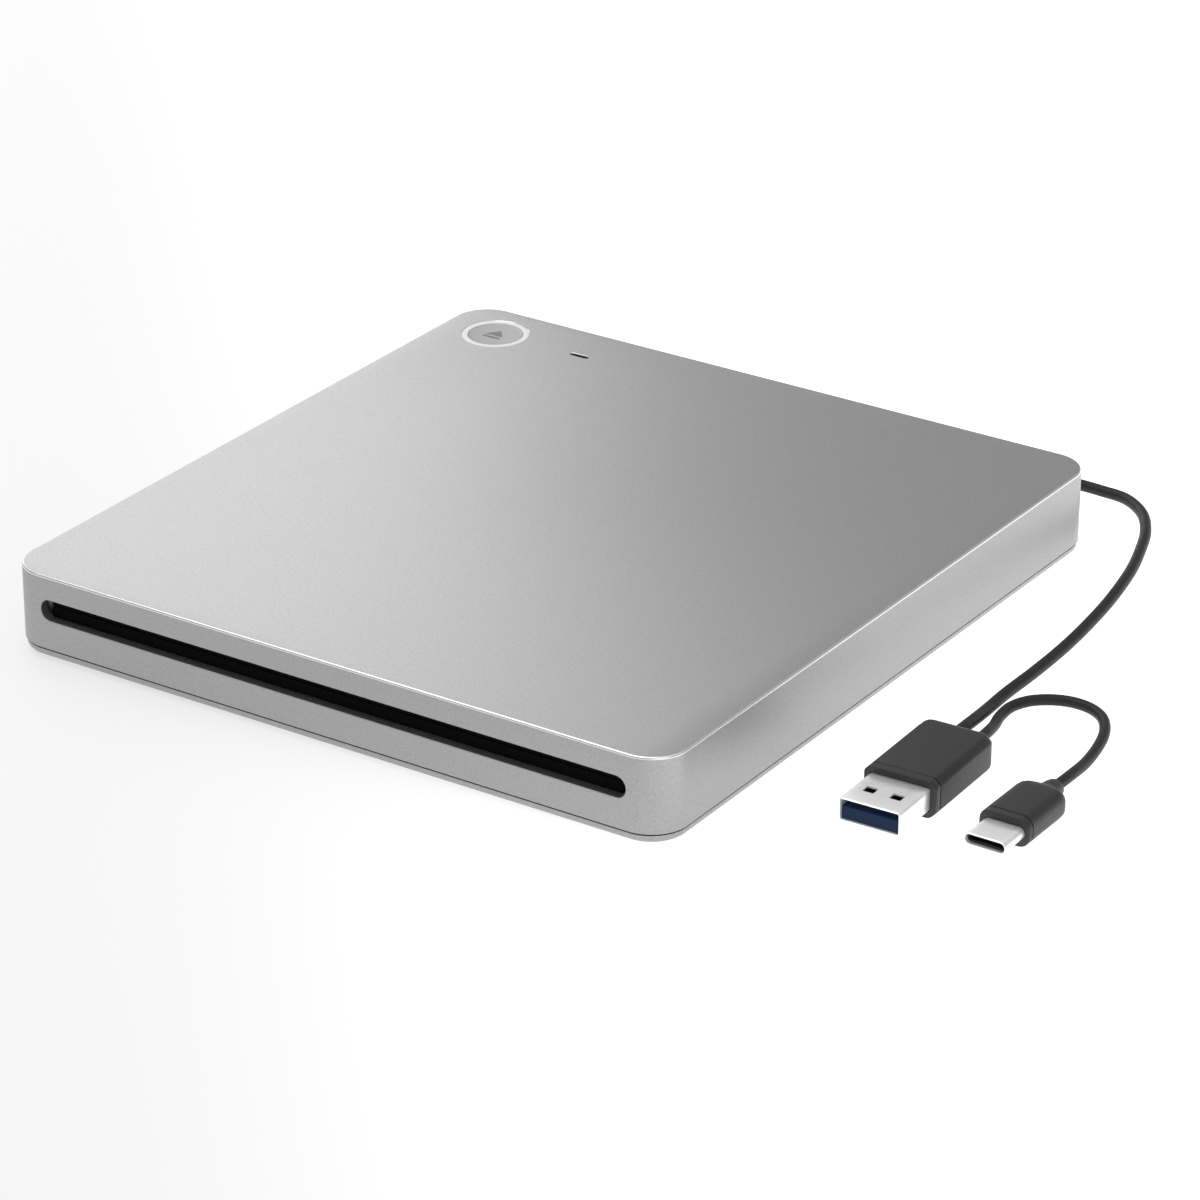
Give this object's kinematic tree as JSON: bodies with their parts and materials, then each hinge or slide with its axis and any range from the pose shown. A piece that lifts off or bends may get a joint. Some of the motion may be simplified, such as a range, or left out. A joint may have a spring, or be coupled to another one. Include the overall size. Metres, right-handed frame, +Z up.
{
  "type": "external optical drive",
  "caption": "Slim square slot-loading optical drive in a metal case, with a touch eject key and a captive lead to a USB-A plug and a USB-C branch plug.",
  "frame": {"origin": "middle of the case footprint, on the surface its feet stand on", "axes": "+X to the right, +Y to the back where the lead leaves, +Z up; the disc slot is in the -Y face"},
  "size_m": [0.196, 0.1741, 0.0175],
  "materials": {
    "aluminium": "bead-blasted and clear anodised",
    "steel": "plain bright",
    "connector_steel": "bright plated",
    "brass": "turned",
    "rubber": "matt",
    "felt": "short pile",
    "light_guide": "frosted white",
    "key_face": "satin, painted grey",
    "smoked_window": "smoked, gloss",
    "circuit_board": "solder mask",
    "connector_plastic": "moulded",
    "black_plastic": "moulded",
    "white_plastic": "moulded, low friction",
    "deck_metal": "zinc plated",
    "magnesium": "die cast",
    "lens": "coated",
    "flex_film": "polyimide film",
    "plug_black": "moulded, fine satin",
    "cable_black": "soft satin jacket",
    "plug_blue": "moulded, dark blue"
  },
  "bodies": {
    "case": {"base_plate": "aluminium", "branch_cable": "cable_black", "bridge_board": "circuit_board", "cable_grommet": "rubber", "cable_header": "connector_plastic", "case_screw_front_left": "steel", "case_screw_front_right": "steel", "case_screw_rear_left": "steel", "case_screw_rear_right": "steel", "damper_front_left": "rubber", "damper_front_right": "rubber", "damper_rear_left": "rubber", "damper_rear_right": "rubber", "drive_chassis": "steel", "drive_cover": "steel", "eject_light_ring": "light_guide", "eject_touch_pad": "key_face", "felt_lip_lower": "felt", "felt_lip_upper": "felt", "foot_front_left": "rubber", "foot_front_right": "rubber", "foot_rear_left": "rubber", "foot_rear_right": "rubber", "inner_lead": "cable_black", "loading_motor": "steel", "main_board": "circuit_board", "main_cable": "cable_black", "pickup_flex": "flex_film", "sata_plug": "black_plastic", "sata_socket": "black_plastic", "status_led_window": "smoked_window", "top_shell": "aluminium", "touch_board": "circuit_board", "usb_a_housing": "plug_black", "usb_a_shell": "connector_steel", "usb_a_tongue": "plug_blue", "usb_c_housing": "plug_black", "usb_c_insert": "black_plastic", "usb_c_shell": "connector_steel"},
    "deck": {"traverse_frame": "deck_metal", "spindle_base": "steel", "guide_rail_main": "steel", "guide_rail_sub": "steel", "sled_motor": "steel"},
    "turntable": {"turntable": "black_plastic"},
    "lead_screw": {"lead_screw": "steel"},
    "pickup": {"pickup_body": "magnesium"},
    "lens": {"pickup_lens": "lens"},
    "slider": {"cam_slider": "white_plastic"},
    "gear": {"compound_gear": "white_plastic"},
    "worm": {"worm": "brass"},
    "eject_lever": {"eject_arm": "black_plastic"},
    "eject_roll": {"eject_roller": "rubber"},
    "loading_lever": {"loading_arm": "black_plastic"},
    "loading_roll": {"loading_roller": "rubber"}
  },
  "joints": [
    {"name": "cam_slide", "type": "slide", "parent": "case", "child": "slider", "axis": [0, -1, 0], "range_m": [0, 0.014]},
    {"name": "deck_tilt", "type": "hinge", "parent": "case", "child": "deck", "pos_m": [-0.05233, 0.04333, 0.0083], "axis": [-0.7071, -0.7071, 0], "range_deg": [0, 2.26]},
    {"name": "turntable_spin", "type": "hinge", "parent": "deck", "child": "turntable", "pos_m": [-0.00001, -0.00899, 0.00639], "axis": [0.0278, -0.0278, 0.9992], "continuous": true},
    {"name": "pickup_slide", "type": "slide", "parent": "deck", "child": "pickup", "axis": [-0.7066, 0.7066, 0.0393], "range_m": [0, 0.034]},
    {"name": "lead_screw_spin", "type": "hinge", "parent": "deck", "child": "lead_screw", "pos_m": [-0.0375, 0.00163, 0.00673], "axis": [-0.7066, 0.7066, 0.0393], "range_deg": [-2041, 0]},
    {"name": "lens_focus", "type": "slide", "parent": "pickup", "child": "lens", "axis": [0.0278, -0.0278, 0.9992], "range_m": [-0.0002, 0.0004], "stiffness_N_per_m": 2},
    {"name": "gear_spin", "type": "hinge", "parent": "case", "child": "gear", "pos_m": [0.04, 0.036, 0.0065], "axis": [0, 0, 1], "range_deg": [0, 267.5]},
    {"name": "worm_spin", "type": "hinge", "parent": "case", "child": "worm", "pos_m": [0.0403, 0.0453, 0.0076], "axis": [1, 0, 0], "range_deg": [0, 2675]},
    {"name": "eject_arm_swing", "type": "hinge", "parent": "case", "child": "eject_lever", "pos_m": [-0.0573, 0.0215, 0.0138], "axis": [0, 0, 1], "range_deg": [0, 52.1]},
    {"name": "loading_arm_swing", "type": "hinge", "parent": "case", "child": "loading_lever", "pos_m": [0.057, 0.024, 0.0138], "axis": [0, 0, 1], "range_deg": [0, 14.9]},
    {"name": "eject_roller_spin", "type": "hinge", "parent": "eject_lever", "child": "eject_roll", "pos_m": [-0.016, 0.014, 0.0113], "axis": [0, 0, 1], "continuous": true},
    {"name": "loading_roller_spin", "type": "hinge", "parent": "loading_lever", "child": "loading_roll", "pos_m": [0.049, -0.021, 0.0113], "axis": [0, 0, 1], "continuous": true}
  ],
  "couplings": [
    {"joint": "deck_tilt", "follows": "cam_slide", "rad_per_m": 2.805},
    {"joint": "gear_spin", "follows": "cam_slide", "rad_per_m": 333.33},
    {"joint": "worm_spin", "follows": "cam_slide", "rad_per_m": 3333.3},
    {"joint": "eject_arm_swing", "follows": "cam_slide", "rad_per_m": 64.827},
    {"joint": "loading_arm_swing", "follows": "cam_slide", "rad_per_m": 18.451},
    {"joint": "lead_screw_spin", "follows": "pickup_slide", "rad_per_m": -1047.2}
  ]
}
